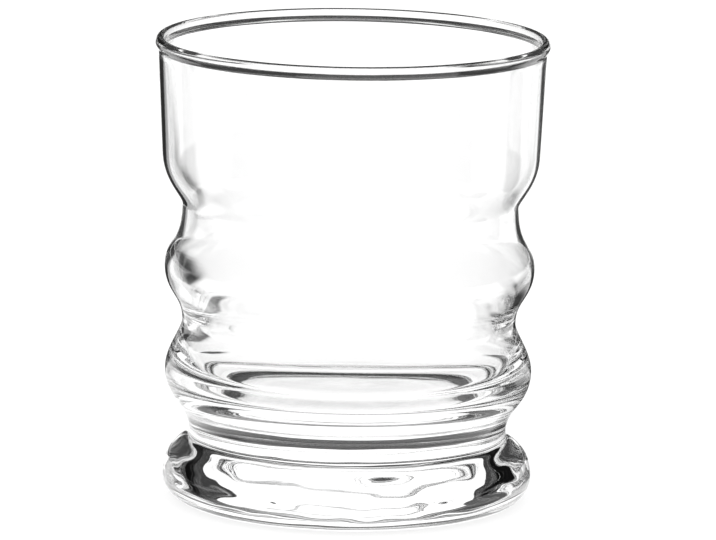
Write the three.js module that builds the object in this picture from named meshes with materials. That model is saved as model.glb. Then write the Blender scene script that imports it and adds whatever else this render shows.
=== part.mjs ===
// A clear rocks tumbler in soda-lime glass: a heavy solid foot, a blown bowl with two rounded bulges between
// three waists, a nearly straight upper wall, and a fire-polished bead round the lip.
// Millimetres, +Z up, the origin at the centre of the ring that the glass stands on.

import * as THREE from 'three';

// Overall size.
const HEIGHT = 98.0;
const RIM_DIAMETER = 82.5;

// Foot, from the table up.
const BEARING_INNER_RADIUS = 31.0;
const BEARING_WIDTH = 2.1;
const PUSH_UP_DEPTH = 3.5;
const PUSH_UP_FLAT_RADIUS = 17.0;
const FOOT_RADIUS = 38.8;
const FOOT_CREST_HEIGHT = 4.95;
const FOOT_CREST_TO_WAIST = 9.45;

// Outside of the bowl: radii at its waists and crests, and the rise from each one to the next.
const LOW_WAIST_RADIUS = 33.4;
const LOW_WAIST_TO_LOW_CREST = 13.2;
const LOW_CREST_RADIUS = 38.5;
const LOW_CREST_TO_MID_WAIST = 10.2;
const MID_WAIST_RADIUS = 35.0;
const MID_WAIST_TO_HIGH_CREST = 11.65;
const HIGH_CREST_RADIUS = 38.8;
const HIGH_CREST_TO_HIGH_WAIST = 13.05;
const HIGH_WAIST_RADIUS = 35.25;
const HIGH_WAIST_TO_SHOULDER = 10.8;
const SHOULDER_RADIUS = 39.55;

// Glass thickness, measured across the wall, and the inside of the low bulge, where the wall stays thick
// round the floor.
const FLOOR_THICKNESS = 6.8;
const FLOOR_DISH = 0.8;
const FLOOR_RADIUS = 30.2;
const FLOOR_CORNER_WIDTH = 3.4;
const FLOOR_CORNER_HEIGHT = 3.0;
const LOW_INSIDE_RADIUS = 34.5;
const LOW_INSIDE_RISE = 4.0;
const MID_WAIST_WALL = 2.3;
const HIGH_CREST_WALL = 1.3;
const HIGH_WAIST_WALL = 1.15;
const SHOULDER_WALL = 1.1;
const NECK_WALL = 1.0;

// Bead round the lip.
const BEAD_HEIGHT = 2.75;
const BEAD_OVERHANG = 0.62;
const BEAD_INSIDE_SWELL = 0.53;
const BEAD_CREST_DROP = 1.35;

// How long the section holds close to upright below and above each waist and crest before it turns, as a
// share of the rise to the next one. The inside is softer than the outside, which the mould shapes.
const OUTSIDE_HOLD = {
  footCrest: { above: 0.77 },
  lowWaist: { below: 0.27, above: 0.46 },
  lowCrest: { below: 0.49, above: 0.37 },
  midWaist: { below: 0.23, above: 0.48 },
  highCrest: { below: 0.46, above: 0.41 },
  highWaist: { below: 0.69, above: 0.19 },
  shoulder: { below: 0.56 },
};
const INSIDE_HOLD = {
  floorCorner: { above: 0.2 },
  lowBulge: { below: 0.51, above: 0.45 },
  midWaist: { below: 0.3, above: 0.54 },
  highCrest: { below: 0.45, above: 0.37 },
  highWaist: { below: 0.64, above: 0.26 },
  shoulder: { below: 0.54 },
};
const BEAD_HOLD = { neck: 0.3, crest: 0.5 };

// Where the push-up turns down: how far it runs on level at the top, and how steeply it meets the bearing
// ring.
const PUSH_UP_HOLD = { top: 0.46, edge: 0.2, drop: 0.7 };

// Facets round the axis, and along each curve of a section.
const SEGMENTS = 60;
const CURVE_STEPS = 5;

// Heights and radii that follow from the sizes above.
const lowWaistZ = FOOT_CREST_HEIGHT + FOOT_CREST_TO_WAIST;
const lowCrestZ = lowWaistZ + LOW_WAIST_TO_LOW_CREST;
const midWaistZ = lowCrestZ + LOW_CREST_TO_MID_WAIST;
const highCrestZ = midWaistZ + MID_WAIST_TO_HIGH_CREST;
const highWaistZ = highCrestZ + HIGH_CREST_TO_HIGH_WAIST;
const shoulderZ = highWaistZ + HIGH_WAIST_TO_SHOULDER;
const neckZ = HEIGHT - BEAD_HEIGHT;
const floorZ = lowWaistZ + FLOOR_THICKNESS;
const floorEdgeZ = floorZ + FLOOR_DISH;
const floorCornerZ = floorEdgeZ + FLOOR_CORNER_HEIGHT;
const lowInsideZ = floorCornerZ + LOW_INSIDE_RISE;
const neckRadius = RIM_DIAMETER / 2 - BEAD_OVERHANG;

// A swell runs between two points of the section that both have upright tangents, such as a waist and a
// crest. leave and arrive are the holds at its two ends.
function swell(path, radius, z, leave, arrive) {
  const from = path.currentPoint.clone();
  const rise = z - from.y;
  path.bezierCurveTo(from.x, from.y + leave * rise, radius, z - arrive * rise, radius, z);
}

// A quarter round turns between an upright tangent and a level one.
const ROUND = 0.5523;

function uprightToLevel(path, radius, z) {
  const from = path.currentPoint.clone();
  const run = radius - from.x;
  const rise = z - from.y;
  path.bezierCurveTo(from.x, from.y + ROUND * rise, radius - ROUND * run, z, radius, z);
}

function levelToUpright(path, radius, z) {
  const from = path.currentPoint.clone();
  const run = radius - from.x;
  const rise = z - from.y;
  path.bezierCurveTo(from.x + ROUND * run, from.y, radius, z - ROUND * rise, radius, z);
}

// Turns a closed section round the axis. The section runs up the outside and down the inside.
function revolve(name, path, material) {
  const points = path.getPoints(CURVE_STEPS);
  const geometry = new THREE.LatheGeometry(points, SEGMENTS);
  geometry.rotateX(Math.PI / 2);
  const mesh = new THREE.Mesh(geometry, material);
  mesh.name = name;
  return mesh;
}

function clearGlass(color, roughness) {
  return new THREE.MeshStandardMaterial({
    color,
    roughness,
    metalness: 0,
    transparent: true,
    opacity: 0.4,
  });
}

// The foot: a flat-topped push-up inside the bearing ring, a full rounded edge, and a flat top at the low
// waist.
function footSection() {
  const hold = OUTSIDE_HOLD;
  const path = new THREE.Path();
  const fall = BEARING_INNER_RADIUS - PUSH_UP_FLAT_RADIUS;
  path.moveTo(0, PUSH_UP_DEPTH);
  path.lineTo(PUSH_UP_FLAT_RADIUS, PUSH_UP_DEPTH);
  path.bezierCurveTo(
    PUSH_UP_FLAT_RADIUS + fall * PUSH_UP_HOLD.top, PUSH_UP_DEPTH,
    BEARING_INNER_RADIUS - fall * PUSH_UP_HOLD.edge, PUSH_UP_DEPTH * PUSH_UP_HOLD.drop,
    BEARING_INNER_RADIUS, 0,
  );
  path.lineTo(BEARING_INNER_RADIUS + BEARING_WIDTH, 0);
  levelToUpright(path, FOOT_RADIUS, FOOT_CREST_HEIGHT);
  swell(path, LOW_WAIST_RADIUS, lowWaistZ, hold.footCrest.above, hold.lowWaist.below);
  path.lineTo(0, lowWaistZ);
  return path;
}

// The outside of the bowl, from the low waist up to the neck.
function bowlOutside(path) {
  const hold = OUTSIDE_HOLD;
  path.lineTo(LOW_WAIST_RADIUS, lowWaistZ);
  swell(path, LOW_CREST_RADIUS, lowCrestZ, hold.lowWaist.above, hold.lowCrest.below);
  swell(path, MID_WAIST_RADIUS, midWaistZ, hold.lowCrest.above, hold.midWaist.below);
  swell(path, HIGH_CREST_RADIUS, highCrestZ, hold.midWaist.above, hold.highCrest.below);
  swell(path, HIGH_WAIST_RADIUS, highWaistZ, hold.highCrest.above, hold.highWaist.below);
  swell(path, SHOULDER_RADIUS, shoulderZ, hold.highWaist.above, hold.shoulder.below);
  path.lineTo(neckRadius, neckZ);
}

// The inside of the bowl, from the neck down to the round corner and the faintly dished floor.
function bowlInside(path) {
  const hold = INSIDE_HOLD;
  const corner = FLOOR_RADIUS + FLOOR_CORNER_WIDTH;
  path.lineTo(neckRadius - NECK_WALL, neckZ);
  path.lineTo(SHOULDER_RADIUS - SHOULDER_WALL, shoulderZ);
  swell(path, HIGH_WAIST_RADIUS - HIGH_WAIST_WALL, highWaistZ, hold.shoulder.below, hold.highWaist.above);
  swell(path, HIGH_CREST_RADIUS - HIGH_CREST_WALL, highCrestZ, hold.highWaist.below, hold.highCrest.above);
  swell(path, MID_WAIST_RADIUS - MID_WAIST_WALL, midWaistZ, hold.highCrest.below, hold.midWaist.above);
  swell(path, LOW_INSIDE_RADIUS, lowInsideZ, hold.midWaist.below, hold.lowBulge.above);
  swell(path, corner, floorCornerZ, hold.lowBulge.below, hold.floorCorner.above);
  uprightToLevel(path, FLOOR_RADIUS, floorEdgeZ);
  path.quadraticCurveTo(FLOOR_RADIUS / 2, floorZ, 0, floorZ);
}

// The bowl stands on the foot's flat top, and a flat ring round its top carries the bead.
function bowlSection() {
  const path = new THREE.Path();
  path.moveTo(0, lowWaistZ);
  bowlOutside(path);
  bowlInside(path);
  return path;
}

// The bead: a flat underside that covers the top of the wall, and a full round that stands out past the neck
// on both sides.
function beadSection() {
  const neckInside = neckRadius - NECK_WALL;
  const inner = neckInside - BEAD_INSIDE_SWELL;
  const outer = RIM_DIAMETER / 2;
  const crestZ = HEIGHT - BEAD_CREST_DROP;
  const path = new THREE.Path();
  path.moveTo(neckInside, neckZ);
  path.lineTo(neckRadius, neckZ);
  swell(path, outer, crestZ, BEAD_HOLD.neck, BEAD_HOLD.crest);
  uprightToLevel(path, (inner + outer) / 2, HEIGHT);
  levelToUpright(path, inner, crestZ);
  swell(path, neckInside, neckZ, BEAD_HOLD.crest, BEAD_HOLD.neck);
  return path;
}

const tumbler = new THREE.Group();
tumbler.add(revolve('foot', footSection(), clearGlass(0xeaf0ee, 0.06)));
tumbler.add(revolve('bowl', bowlSection(), clearGlass(0xf2f6f5, 0.03)));
tumbler.add(revolve('rim_bead', beadSection(), clearGlass(0xf6f9f8, 0.02)));

export default tumbler;
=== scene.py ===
# %% [markdown]
# # A clear rocks tumbler on a white table
#
# The object is a heavy-footed drinking glass: a thin upper wall with a fire-polished bead round the lip, a
# body with two rounded bulges between three waists, and a thick solid foot. There is no paint, print or
# colour on it. Everything that the eye sees is light bent by the glass, so this lesson is about three
# things: the true section of the glass inside and out, a plain clear glass shader, and a studio that gives
# clear glass its dark edges.
#
# Lengths in the tables are millimetres. Blender works in metres, and the object stands on Z = 0.

import math

import bpy
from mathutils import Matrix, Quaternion, Vector


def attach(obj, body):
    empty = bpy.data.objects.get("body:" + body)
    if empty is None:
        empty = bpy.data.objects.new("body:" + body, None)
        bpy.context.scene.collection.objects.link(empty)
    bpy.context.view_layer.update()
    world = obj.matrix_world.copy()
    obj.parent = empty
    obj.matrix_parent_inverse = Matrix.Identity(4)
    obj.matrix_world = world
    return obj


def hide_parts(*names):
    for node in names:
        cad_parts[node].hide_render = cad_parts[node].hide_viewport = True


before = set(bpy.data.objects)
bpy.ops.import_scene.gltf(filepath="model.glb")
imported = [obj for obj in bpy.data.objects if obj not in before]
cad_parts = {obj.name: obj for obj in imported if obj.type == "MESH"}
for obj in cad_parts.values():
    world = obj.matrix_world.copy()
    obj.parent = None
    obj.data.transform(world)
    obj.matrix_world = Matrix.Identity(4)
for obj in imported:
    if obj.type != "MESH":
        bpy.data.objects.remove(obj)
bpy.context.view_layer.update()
bpy.ops.object.select_all(action="DESELECT")

MM = 0.001

# %% [markdown]
# ## Small helpers
#
# Colours are written as the sRGB hex values that a picker shows, and turned into the linear values that
# Blender keeps. One function adds a shader node, with its settings and whatever feeds its inputs.


# %% Helpers
def hex_color(code):
    channels = [int(code[i : i + 2], 16) / 255 for i in (1, 3, 5)]
    linear = [c / 12.92 if c <= 0.04045 else ((c + 0.055) / 1.055) ** 2.4 for c in channels]
    return (*linear, 1.0)


def add_node(tree, kind, inputs=None, **settings):
    made = tree.nodes.new(kind)
    for name, value in settings.items():
        setattr(made, name, value)
    for socket, value in (inputs or {}).items():
        if isinstance(value, bpy.types.NodeSocket):
            tree.links.new(value, made.inputs[socket])
        else:
            made.inputs[socket].default_value = value
    return made


def new_material(name):
    material = bpy.data.materials.new(name)
    material.use_nodes = True
    material.node_tree.nodes.clear()
    return material


WHITE = hex_color("#FFFFFF")
print("helpers ready, white is", WHITE)

# %% [markdown]
# ## The section of the glass
#
# On the real object a machine presses the gob, blows it in a mould and melts the lip round with a flame.
# The mould shapes the outside, so its waists and crests are firm curves. Air shapes the inside. From the
# lip down to the high crest the wall is an even millimetre thick, so the inside follows the mould. Lower
# down the glass was cooler and stayed thick: at the mid waist, round the floor and in the solid foot. The
# foot stands on a narrow ring, and inside that ring the mould pushes the bottom up.
#
# The section could be a box-modelled profile, a mesh outline pushed point by point, or a Bezier curve. A
# curve is best here, because every waist, crest and lip is one point with two handles, and the handles say
# how long the section holds its direction. It runs from the axis under the foot, out and up the outside,
# over the lip, and down the inside to the middle of the floor. Each row is radius, height, then the handle
# back and the handle on, both as steps from the point.

# %% Section points
# Push-up under the foot, and the ring that the glass stands on.
UNDERSIDE = [
    (0.0, 4.0, (0, 0), (4.0, 0)),
    (12.0, 4.0, (-4.0, 0), (9.5, 0)),
    (31.0, 0.0, (-3.4, 3.0), (0.7, 0)),
    (33.1, 0.0, (-0.7, 0), (3.15, 0)),
]
# Foot crest, low waist, low crest, mid waist, high crest, high waist, shoulder, neck.
OUTSIDE = [
    (38.8, 4.95, (0, -2.73), (0, 7.28)),
    (33.4, 14.4, (0, -2.55), (0, 6.07)),
    (38.5, 27.6, (0, -6.47), (0, 3.77)),
    (35.0, 37.8, (0, -2.35), (0, 5.59)),
    (38.8, 49.45, (0, -5.36), (0, 5.35)),
    (35.25, 62.5, (0, -9.0), (0, 2.05)),
    (39.55, 73.3, (-0.3, -6.04), (0.35, 7.03)),
    (40.63, 95.25, (-0.35, -7.03), (0.02, 0.4)),
]
# Outer crest, top, inner crest, and the end of the bead on the inside.
LIP = [
    (41.25, 96.65, (0, -0.6), (0, 0.75)),
    (40.2, 98.0, (0.58, 0), (-0.58, 0)),
    (39.1, 96.6, (0, 0.77), (0, -0.6)),
    (39.63, 95.1, (-0.02, 0.45), (-0.37, -6.87)),
]
# Shoulder, high waist, high crest, mid waist, low crest, floor corner, edge and middle of the floor.
INSIDE = [
    (38.45, 73.3, (0.37, 6.87), (-0.34, -5.92)),
    (34.15, 62.44, (0, 2.8), (0, -9.21)),
    (37.66, 49.42, (0, 4.82), (0, -4.4)),
    (33.0, 37.8, (0, 4.6), (0, -2.65)),
    (35.2, 30.0, (0, 3.6), (0, -1.3)),
    (34.4, 27.4, (0, 0.7), (0, -2.4)),
    (29.0, 23.2, (2.8, 0.2), (-9.5, -0.7)),
    (0.0, 22.0, (10.67, 0), (0, 0)),
]
SECTION = UNDERSIDE + OUTSIDE + LIP + INSIDE
STEPS_BETWEEN_POINTS = 14

bpy.ops.curve.primitive_bezier_curve_add(location=(0, 0, 0))
tumbler = bpy.context.object
tumbler.name = "tumbler_glass"
spline = tumbler.data.splines[0]
spline.bezier_points.add(len(SECTION) - len(spline.bezier_points))
for point, (radius, height, back, on) in zip(spline.bezier_points, SECTION):
    point.handle_left_type = "FREE"
    point.handle_right_type = "FREE"
    point.co = Vector((radius, 0, height)) * MM
    point.handle_left = Vector((radius + back[0], 0, height + back[1])) * MM
    point.handle_right = Vector((radius + on[0], 0, height + on[1])) * MM
tumbler.data.dimensions = "3D"
tumbler.data.resolution_u = STEPS_BETWEEN_POINTS
print("section:", len(spline.bezier_points), "points")

# %% [markdown]
# ## Marking the inside
#
# A blown inside is never quite in line with the mould. Here it leans by a fraction of a millimetre to the
# right, so the left wall is a little thicker. The lean could be made by turning two separate skins, but
# then they would have to be joined at the lip and under the floor. It is simpler to turn one skin and move
# its inside. So the curve becomes a mesh outline, and its inside points go into a vertex group. Their
# weights fade out towards the lip, which the flame trues up.

# %% Mark the inside
FULL_LEAN_HEIGHT = 45.0
NO_LEAN_HEIGHT = 95.0
FIRST_INSIDE_POINT = len(UNDERSIDE + OUTSIDE + LIP) - 1

bpy.ops.object.convert(target="MESH")
inside = tumbler.vertex_groups.new(name="inside")
for vertex in tumbler.data.vertices[FIRST_INSIDE_POINT * STEPS_BETWEEN_POINTS :]:
    weight = (NO_LEAN_HEIGHT - vertex.co.z / MM) / (NO_LEAN_HEIGHT - FULL_LEAN_HEIGHT)
    inside.add([vertex.index], min(max(weight, 0.0), 1.0), "REPLACE")
print("outline:", len(tumbler.data.vertices), "points")

# %% [markdown]
# ## Turning the section into one piece of glass
#
# The real tumbler is one continuous piece, and light must pass from lip to foot without meeting an inner
# face. So one turned mesh stands for the rim bead, the bowl and the foot. Three closed meshes that touch
# would show their hidden joints as bright rings. A full spin turns the outline round the axis and copies
# the vertex group with it, the copies of the two axis points merge, and a displace modifier moves the
# inside sideways.

# %% Turn
STEPS_ROUND = 256
MERGE_DISTANCE = 0.002
INSIDE_LEAN = 0.4

bpy.ops.object.mode_set(mode="EDIT")
bpy.ops.mesh.select_all(action="SELECT")
bpy.ops.mesh.spin(steps=STEPS_ROUND, angle=math.tau, center=(0, 0, 0), axis=(0, 0, 1))
bpy.ops.mesh.select_all(action="SELECT")
bpy.ops.mesh.remove_doubles(threshold=MERGE_DISTANCE * MM)
bpy.ops.mesh.normals_make_consistent(inside=False)
bpy.ops.object.mode_set(mode="OBJECT")
bpy.ops.object.modifier_add(type="DISPLACE")
lean = tumbler.modifiers[-1]
lean.direction = "X"
lean.vertex_group = inside.name
lean.mid_level = 0.0
lean.strength = INSIDE_LEAN * MM
bpy.ops.object.modifier_apply(modifier=lean.name)
bpy.ops.object.shade_smooth()
print("turned:", len(tumbler.data.vertices), "vertices,", len(tumbler.data.polygons), "faces")

# %% [markdown]
# ## The waves in the glass
#
# A blown surface is never quite true: it has slow waves a few centimetres long. The pressed foot chills
# against the mould, which leaves closer waves of about a centimetre, drawn out into level streaks. They
# could be displaced into the mesh, but they are far too shallow to see as relief. Only the tilt of the
# surface shows, in the bent light, so they are bumps in the shader.

# %% Waves
BLOWN_LENGTH = 28 * MM
BLOWN_DEPTH = 0.15 * MM
CHILL_LENGTH = 14 * MM
CHILL_STRETCH = 3.0
CHILL_DEPTH = 0.34 * MM
CHILL_PLACE = (0.2, -0.13, 0.0)
CHILL_FADE_FROM = 12 * MM
CHILL_FADE_TO = 20 * MM

glass = new_material("soda_lime_glass")
tree = glass.node_tree
place = add_node(tree, "ShaderNodeTexCoord")
spot = add_node(tree, "ShaderNodeSeparateXYZ", {"Vector": place.outputs["Object"]})
# Slow waves of the blown wall.
blown = add_node(
    tree,
    "ShaderNodeTexNoise",
    {"Vector": place.outputs["Object"], "Scale": 1 / BLOWN_LENGTH, "Detail": 0.0},
)
blown_bump = add_node(
    tree,
    "ShaderNodeBump",
    {"Strength": 1.0, "Distance": BLOWN_DEPTH, "Height": blown.outputs["Fac"]},
)
# Closer chill waves of the pressed foot, fading out above its waist.
streaked = add_node(
    tree,
    "ShaderNodeMapping",
    {"Vector": place.outputs["Object"], "Location": CHILL_PLACE, "Scale": (1.0, 1.0, CHILL_STRETCH)},
)
chill = add_node(
    tree,
    "ShaderNodeTexNoise",
    {"Vector": streaked.outputs["Vector"], "Scale": 1 / CHILL_LENGTH, "Detail": 1.0},
)
foot_share = add_node(
    tree,
    "ShaderNodeMapRange",
    {
        "Value": spot.outputs["Z"],
        "From Min": CHILL_FADE_FROM,
        "From Max": CHILL_FADE_TO,
        "To Min": 1.0,
        "To Max": 0.0,
    },
    interpolation_type="SMOOTHSTEP",
)
chill_waves = add_node(
    tree,
    "ShaderNodeMath",
    {0: chill.outputs["Fac"], 1: foot_share.outputs["Result"]},
    operation="MULTIPLY",
)
waves = add_node(
    tree,
    "ShaderNodeBump",
    {
        "Strength": 1.0,
        "Distance": CHILL_DEPTH,
        "Height": chill_waves.outputs["Value"],
        "Normal": blown_bump.outputs["Normal"],
    },
)
print("waves:", len(tree.nodes), "nodes")

# %% [markdown]
# ## Clear soda-lime glass
#
# Soda-lime glass of this thickness is colourless to the eye, and both the mould's polish and the flame
# leave it glossy. Its refractive index of 1.52 sets how far the bulges bend what is behind them and how
# strongly the edges mirror the studio. A plain transmitting shader is all it needs.

# %% Glass
GLASS_IOR = 1.52

shader = add_node(
    tree,
    "ShaderNodeBsdfPrincipled",
    {
        "Base Color": hex_color("#FEFEFE"),
        "Metallic": 0.0,
        "Roughness": 0.0,
        "IOR": GLASS_IOR,
        "Transmission Weight": 1.0,
        "Normal": waves.outputs["Normal"],
    },
)
add_node(tree, "ShaderNodeOutputMaterial", {"Surface": shader.outputs["BSDF"]})
tumbler.data.materials.clear()
tumbler.data.materials.append(glass)
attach(tumbler, "root")
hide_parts("rim_bead", "bowl", "foot")
print("glass:", glass.name, "on", tumbler.name)

# %% [markdown]
# ## The white table
#
# Glass like this is photographed on white paper. A clear glass on nothing but white would have no outline,
# so photographers lay black felt on the paper just outside the picture. The thin edge of a wall bends light
# sideways by fifteen to thirty degrees, past the white paper behind the glass and onto the felt, and so it
# turns into a dark line.
#
# The felt could be real sheets, but then it would stand in some of the views. Here it is a pattern in the
# paper, which only light that has met the glass can see.

# %% Table
TABLE_SIZE = 16.0

bpy.ops.mesh.primitive_plane_add(size=TABLE_SIZE, location=(0, 0, 0))
table = bpy.context.object
table.name = "white_table"
paper = new_material("white_paper_and_felt")
table.data.materials.append(paper)
tree = paper.node_tree
place = add_node(tree, "ShaderNodeTexCoord")
spot = add_node(tree, "ShaderNodeSeparateXYZ", {"Vector": place.outputs["Object"]})
reach = add_node(tree, "ShaderNodeVectorMath", {0: place.outputs["Object"]}, operation="LENGTH")
print("table:", TABLE_SIZE, "m square")

# %% [markdown]
# ## Felt far from the glass
#
# Far from the glass, eight white runners lie like the spokes of a wheel, with felt between them, so that
# the glass has the same dark edges from the front, the sides and the corners. Each runner starts as a strip
# about as wide as the glass and opens into a fan. The azimuth, wrapped to the nearest spoke, tells how far
# off that spoke a point lies.

# %% Far felt
RUNNERS = 8
HALF_SPACING = math.pi / RUNNERS
RUNNER_HALF_ANGLE = (math.radians(12.0), math.radians(16.5))
RUNNER_HALF_WIDTH = (40.0 * MM, 50.0 * MM)

azimuth = add_node(
    tree,
    "ShaderNodeMath",
    {0: spot.outputs["X"], 1: spot.outputs["Y"]},
    operation="ARCTAN2",
)
from_spoke = add_node(
    tree,
    "ShaderNodeMath",
    {0: azimuth.outputs["Value"], 1: HALF_SPACING, 2: -HALF_SPACING},
    operation="WRAP",
)
off_spoke = add_node(tree, "ShaderNodeMath", {0: from_spoke.outputs["Value"]}, operation="ABSOLUTE")
sine = add_node(tree, "ShaderNodeMath", {0: off_spoke.outputs["Value"]}, operation="SINE")
sideways = add_node(
    tree,
    "ShaderNodeMath",
    {0: sine.outputs["Value"], 1: reach.outputs["Value"]},
    operation="MULTIPLY",
)
past_fan = add_node(
    tree,
    "ShaderNodeMapRange",
    {
        "Value": off_spoke.outputs["Value"],
        "From Min": RUNNER_HALF_ANGLE[0],
        "From Max": RUNNER_HALF_ANGLE[1],
    },
    interpolation_type="SMOOTHSTEP",
)
past_strip = add_node(
    tree,
    "ShaderNodeMapRange",
    {
        "Value": sideways.outputs["Value"],
        "From Min": RUNNER_HALF_WIDTH[0],
        "From Max": RUNNER_HALF_WIDTH[1],
    },
    interpolation_type="SMOOTHSTEP",
)
far_felt = add_node(
    tree,
    "ShaderNodeMath",
    {0: past_fan.outputs["Result"], 1: past_strip.outputs["Result"]},
    operation="MULTIPLY",
)
print("far felt:", RUNNERS, "runners")

# %% [markdown]
# ## Felt close to the glass
#
# Close to the glass, eight runners would run into each other and leave no felt. There only two white strips
# cross under it, one straight and one on a diagonal, each about as wide as the glass.

# %% Near felt
DIAGONAL = (math.sqrt(0.5), math.sqrt(0.5), 0.0)
NEAR_REACH = (120.0 * MM, 180.0 * MM)

diagonal = add_node(
    tree,
    "ShaderNodeVectorMath",
    {0: place.outputs["Object"], 1: DIAGONAL},
    operation="DOT_PRODUCT",
)
past_strips = []
for across in (spot.outputs["X"], diagonal.outputs["Value"]):
    off_strip = add_node(tree, "ShaderNodeMath", {0: across}, operation="ABSOLUTE")
    past_strips.append(
        add_node(
            tree,
            "ShaderNodeMapRange",
            {
                "Value": off_strip.outputs["Value"],
                "From Min": RUNNER_HALF_WIDTH[0],
                "From Max": RUNNER_HALF_WIDTH[1],
            },
            interpolation_type="SMOOTHSTEP",
        )
    )
near_felt = add_node(
    tree,
    "ShaderNodeMath",
    {0: past_strips[0].outputs["Result"], 1: past_strips[1].outputs["Result"]},
    operation="MULTIPLY",
)
far_share = add_node(
    tree,
    "ShaderNodeMapRange",
    {"Value": reach.outputs["Value"], "From Min": NEAR_REACH[0], "From Max": NEAR_REACH[1]},
    interpolation_type="SMOOTHSTEP",
)
felt_cover = add_node(
    tree,
    "ShaderNodeMix",
    {
        "Factor": far_share.outputs["Result"],
        "A": near_felt.outputs["Value"],
        "B": far_felt.outputs["Value"],
    },
)
print("near felt:", len(past_strips), "strips")

# %% [markdown]
# ## What the camera and the glass see of the paper
#
# The camera sees plain white, and a matt share of the paper keeps the soft shadow under the foot. Light
# that the glass bends or mirrors sees the felt and the paper. It sees the paper a little brighter than
# white, because each surface of the glass mirrors some of it away, and it should still come out white.

# %% Paper
PAPER_GLOW_SHARE = 0.85
PAPER_THROUGH_GLASS = 1.22
FELT_LEVEL = 0.06

rays = add_node(tree, "ShaderNodeLightPath")
to_camera = add_node(
    tree,
    "ShaderNodeMath",
    {0: rays.outputs["Is Camera Ray"], 1: PAPER_GLOW_SHARE},
    operation="MULTIPLY",
)
by_glass = add_node(
    tree,
    "ShaderNodeMath",
    {0: rays.outputs["Is Glossy Ray"], 1: rays.outputs["Is Transmission Ray"]},
    operation="MAXIMUM",
)
level = add_node(
    tree,
    "ShaderNodeMapRange",
    {"Value": felt_cover.outputs["Result"], "To Min": PAPER_THROUGH_GLASS, "To Max": FELT_LEVEL},
)
matt = add_node(tree, "ShaderNodeBsdfDiffuse", {"Color": hex_color("#F2F2F2")})
glow = add_node(tree, "ShaderNodeEmission", {"Color": WHITE, "Strength": 1.0})
through = add_node(tree, "ShaderNodeEmission", {"Color": WHITE, "Strength": level.outputs["Result"]})
plain = add_node(
    tree,
    "ShaderNodeMixShader",
    {0: to_camera.outputs["Value"], 1: matt.outputs["BSDF"], 2: glow.outputs["Emission"]},
)
seen = add_node(
    tree,
    "ShaderNodeMixShader",
    {0: by_glass.outputs["Value"], 1: plain.outputs["Shader"], 2: through.outputs["Emission"]},
)
add_node(tree, "ShaderNodeOutputMaterial", {"Surface": seen.outputs["Shader"]})
print("paper:", paper.name, "on", table.name)

# %% [markdown]
# ## The room
#
# The camera sees white above the table, and matt surfaces see an even soft light. The glass sees more: the
# white paper ends at the horizon, a dim studio stands above it, and a wide white softbox covers the sky
# overhead. The lip, the floor and the foot bend some rays up into the dim studio, and those turn into the
# dark lines that draw them. Steeper rays meet the softbox and stay white.

# %% World
ROOM_LIGHT = 1.1
DIM_STUDIO = 0.05
PAPER_END = (math.sin(math.radians(-0.5)), math.sin(math.radians(1.5)))
OVERHEAD_EDGE = (math.sin(math.radians(40.0)), math.sin(math.radians(55.0)))
OVERHEAD_LEVEL = 1.1

world = bpy.data.worlds.new("studio")
bpy.context.scene.world = world
world.use_nodes = True
tree = world.node_tree
tree.nodes.clear()
rays = add_node(tree, "ShaderNodeLightPath")
by_glass = add_node(
    tree,
    "ShaderNodeMath",
    {0: rays.outputs["Is Glossy Ray"], 1: rays.outputs["Is Transmission Ray"]},
    operation="MAXIMUM",
)
place = add_node(tree, "ShaderNodeTexCoord")
direction = add_node(tree, "ShaderNodeSeparateXYZ", {"Vector": place.outputs["Generated"]})
studio_level = add_node(
    tree,
    "ShaderNodeMapRange",
    {
        "Value": direction.outputs["Z"],
        "From Min": PAPER_END[0],
        "From Max": PAPER_END[1],
        "To Min": PAPER_THROUGH_GLASS,
        "To Max": DIM_STUDIO,
    },
    interpolation_type="SMOOTHSTEP",
)
overhead_level = add_node(
    tree,
    "ShaderNodeMapRange",
    {
        "Value": direction.outputs["Z"],
        "From Min": OVERHEAD_EDGE[0],
        "From Max": OVERHEAD_EDGE[1],
        "To Min": 0.0,
        "To Max": OVERHEAD_LEVEL,
    },
    interpolation_type="SMOOTHSTEP",
)
glass_sees = add_node(
    tree,
    "ShaderNodeMath",
    {0: studio_level.outputs["Result"], 1: overhead_level.outputs["Result"]},
    operation="MAXIMUM",
)
room = add_node(tree, "ShaderNodeBackground", {"Color": WHITE, "Strength": ROOM_LIGHT})
studio = add_node(tree, "ShaderNodeBackground", {"Color": WHITE, "Strength": glass_sees.outputs["Value"]})
seen = add_node(
    tree,
    "ShaderNodeMixShader",
    {0: by_glass.outputs["Value"], 1: room.outputs["Background"], 2: studio.outputs["Background"]},
)
add_node(tree, "ShaderNodeOutputWorld", {"Surface": seen.outputs["Shader"]})
print("world:", world.name)

# %% [markdown]
# ## The softbox
#
# A round softbox hangs flat over the glass and lights the table evenly. Light that has met the glass
# doesn't see the lamp itself, because the room above already stands for it.

# %% Softbox
SOFTBOX_DIAMETER = 5.0
SOFTBOX_HEIGHT = 1.2
SOFTBOX_POWER = 70.0

bpy.ops.object.light_add(type="AREA", location=(0, 0, SOFTBOX_HEIGHT))
softbox = bpy.context.object
softbox.name = "softbox"
softbox.data.shape = "DISK"
softbox.data.size = SOFTBOX_DIAMETER
softbox.data.energy = SOFTBOX_POWER
softbox.visible_glossy = False
softbox.visible_transmission = False
print("softbox:", SOFTBOX_DIAMETER, "m across")

# %% [markdown]
# ## Camera
#
# The silhouette of the glass in the picture gives the view: about 1.5 m away, a little under eleven degrees
# above level, with a long lens, and the camera rolled by a degree, so that the glass leans slightly to the
# right. The framing comes from where the camera aims.

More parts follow.
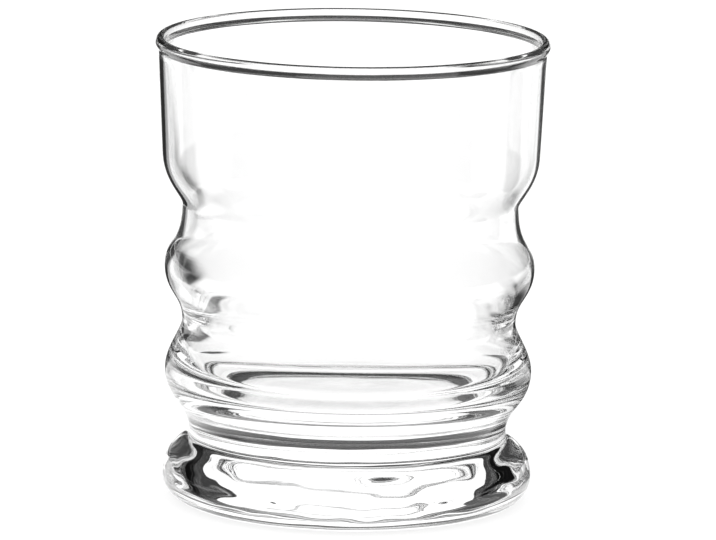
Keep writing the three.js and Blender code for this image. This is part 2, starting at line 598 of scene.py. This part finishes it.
# %% Camera
IMAGE_WIDTH = 716
IMAGE_HEIGHT = 540
PIXELS_PER_MM = 4.767
CAMERA_DISTANCE = 1500.0
CAMERA_ELEVATION = math.radians(10.66)
CAMERA_ROLL = math.radians(0.9)
SENSOR_WIDTH = 36.0
NEAREST_SEEN = 0.05
FARTHEST_SEEN = 50.0
ANCHOR = Vector((0, 0, 48.0))
ANCHOR_PIXEL = (349.6, 272.57)

away = Vector((0, -math.cos(CAMERA_ELEVATION), math.sin(CAMERA_ELEVATION)))
up = Vector((0, math.sin(CAMERA_ELEVATION), math.cos(CAMERA_ELEVATION)))
right = Vector((1, 0, 0))
stand = ANCHOR + away * CAMERA_DISTANCE
aim = ANCHOR
aim = aim + right * ((IMAGE_WIDTH / 2 - ANCHOR_PIXEL[0]) / PIXELS_PER_MM)
aim = aim + up * ((ANCHOR_PIXEL[1] - IMAGE_HEIGHT / 2) / PIXELS_PER_MM)
bpy.ops.object.camera_add(location=stand * MM)
camera = bpy.context.object
camera.name = "photo_camera"
camera.rotation_mode = "QUATERNION"
look = (aim - stand).to_track_quat("-Z", "Y")
camera.rotation_quaternion = look @ Quaternion((0, 0, 1), CAMERA_ROLL)
camera.data.sensor_width = SENSOR_WIDTH
camera.data.lens = PIXELS_PER_MM * CAMERA_DISTANCE / IMAGE_WIDTH * SENSOR_WIDTH
camera.data.clip_start = NEAREST_SEEN
camera.data.clip_end = FARTHEST_SEEN
bpy.context.scene.camera = camera
print("lens:", round(camera.data.lens, 1), "mm")

# %% [markdown]
# ## Rays and colour
#
# A ray through a bulge crosses the glass many times and mirrors inside it, so glass needs more bounces than
# other scenes. The view transform is Standard, so that white paper is white.

# %% Render settings
ALL_BOUNCES = 32
TRANSMISSION_BOUNCES = 24
GLOSSY_BOUNCES = 12
TRANSPARENT_BOUNCES = 16

scene = bpy.context.scene
scene.view_settings.view_transform = "Standard"
scene.cycles.max_bounces = ALL_BOUNCES
scene.cycles.transmission_bounces = TRANSMISSION_BOUNCES
scene.cycles.glossy_bounces = GLOSSY_BOUNCES
scene.cycles.transparent_max_bounces = TRANSPARENT_BOUNCES
print("bounces:", ALL_BOUNCES)
